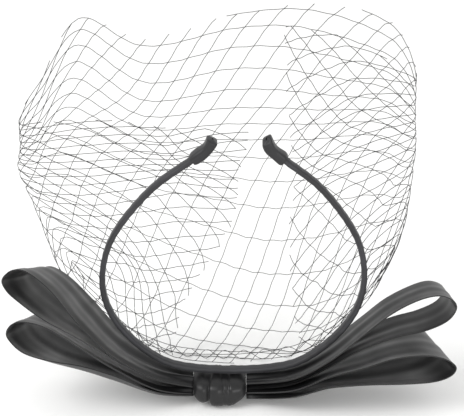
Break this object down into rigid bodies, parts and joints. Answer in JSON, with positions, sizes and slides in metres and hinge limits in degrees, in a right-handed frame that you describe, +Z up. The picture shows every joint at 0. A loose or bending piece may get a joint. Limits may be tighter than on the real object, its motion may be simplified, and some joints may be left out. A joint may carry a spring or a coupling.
{
  "type": "birdcage veil headband",
  "caption": "Birdcage veil: a slim satin headband with a looped satin bow and a deep cage of diamond net gathered along its arc.",
  "frame": {"origin": "on the floor under the middle of the part's box", "axes": "+X along the bow to the right, +Y from the band into the cage of net, +Z up from the bow to the tips of the band"},
  "size_m": [0.2504, 0.116, 0.2122],
  "materials": {
    "wrapped_satin": "matt woven ribbon wrap",
    "cap_satin": "folded satin ribbon",
    "bow_satin": "satin ribbon, soft sheen",
    "net_thread": "stiffened net thread"
  },
  "bodies": {
    "root": {"band": "wrapped_satin", "end_cap_left": "cap_satin", "end_cap_right": "cap_satin", "knot": "bow_satin", "loop_upper_left": "bow_satin", "loop_lower_left": "bow_satin", "loop_upper_right": "bow_satin", "loop_lower_right": "bow_satin", "veil": "net_thread"}
  },
  "joints": []
}
